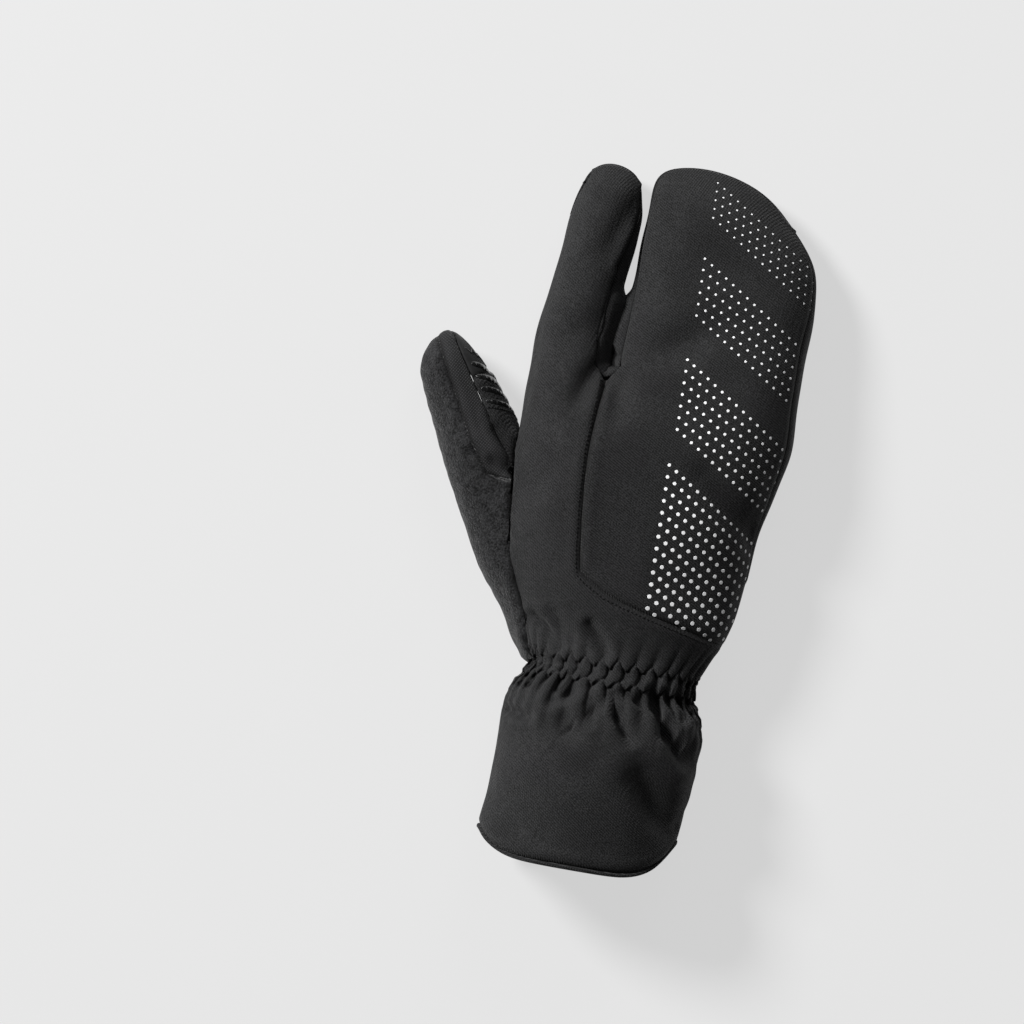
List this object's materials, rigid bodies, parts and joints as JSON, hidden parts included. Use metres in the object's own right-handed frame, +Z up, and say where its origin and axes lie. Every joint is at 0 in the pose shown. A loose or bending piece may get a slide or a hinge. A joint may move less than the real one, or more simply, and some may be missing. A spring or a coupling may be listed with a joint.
{
  "type": "lobster claw mitt",
  "caption": "Padded right-hand winter mitt with separate thumb and index finger, a shared pocket for the other fingers, a gathered wrist and a long cuff with a strap.",
  "frame": {"origin": "on the surface that the mitt lies on, palm down, under the middle of its outline", "axes": "+X to the little-finger side, +Y to the fingertips, +Z up out of the back of the hand"},
  "size_m": [0.1566, 0.2934, 0.057],
  "materials": {
    "softshell": "matt softshell cloth with a fine diagonal twill",
    "terry_fleece": "matt fuzzy terry",
    "fine_knit": "matt fine-grid knit",
    "touch_cloth": "smooth matt cloth",
    "woven_patch": "dense woven loop tape",
    "edge_binding": "ribbed tape",
    "grip_silicone": "glossy raised print",
    "reflective_print": "pale retroreflective dots",
    "sewing_thread": "black polyester thread"
  },
  "bodies": {
    "root": {"back_shell": "softshell", "finger_back": "softshell", "palm_shell": "softshell", "index_tip_patch": "touch_cloth", "finger_gusset": "softshell", "cuff_palm": "softshell", "slit_gusset": "softshell", "hem_binding": "edge_binding", "hook_patch": "woven_patch", "closure_strap": "softshell", "palm_pad": "softshell", "thumb_back": "terry_fleece", "thumb_palm": "softshell", "thumb_tip_patch": "touch_cloth", "thumb_gusset": "fine_knit"}
  },
  "joints": []
}
